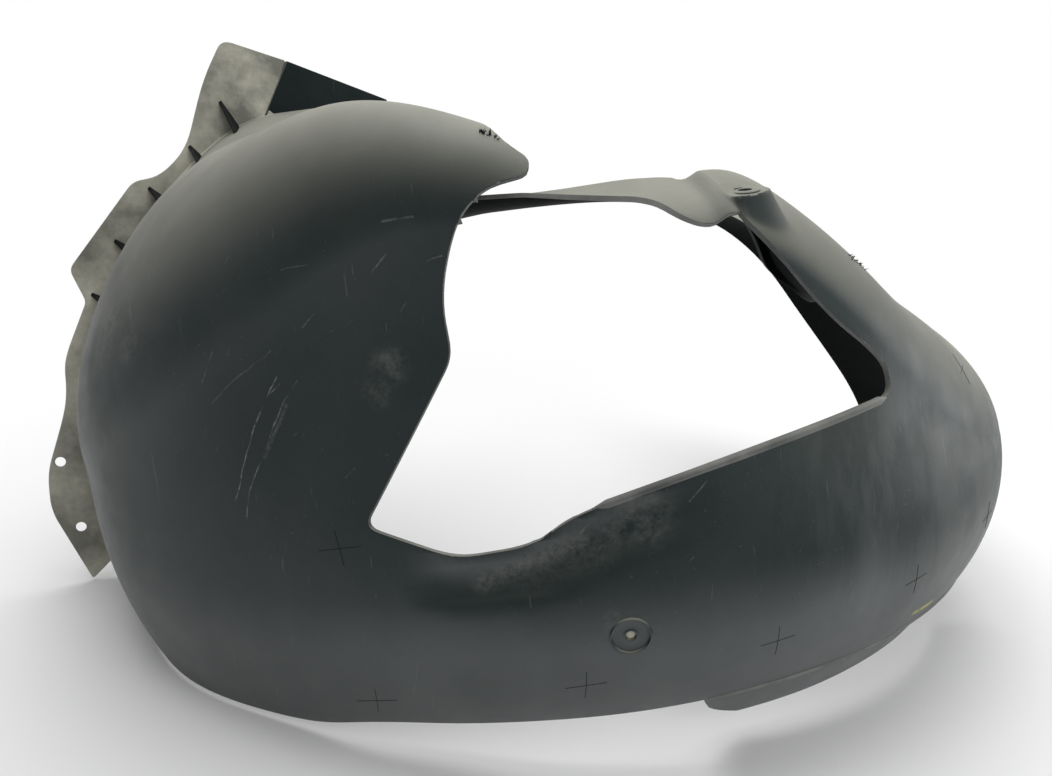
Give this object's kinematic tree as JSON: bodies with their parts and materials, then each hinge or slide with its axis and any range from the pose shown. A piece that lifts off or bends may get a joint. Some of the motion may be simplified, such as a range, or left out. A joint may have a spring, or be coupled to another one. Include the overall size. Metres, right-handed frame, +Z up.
{
  "type": "wheel arch liner",
  "caption": "Thin moulded liner for a front wheel arch: bulged shell with a strut window, strap, rear flange with gussets and fixing tabs.",
  "frame": {"origin": "centre of the box at its bottom, on the surface the liner lies on", "axes": "+X along the arch towards the front end of the car, +Y from the crown towards the open side of the arch, +Z up from the outboard rim"},
  "size_m": [0.7538, 0.5832, 0.4385],
  "materials": {
    "black_plastic": "semi-matte, dusty and scratched"
  },
  "bodies": {
    "root": {"liner_shell": "black_plastic"}
  },
  "joints": []
}
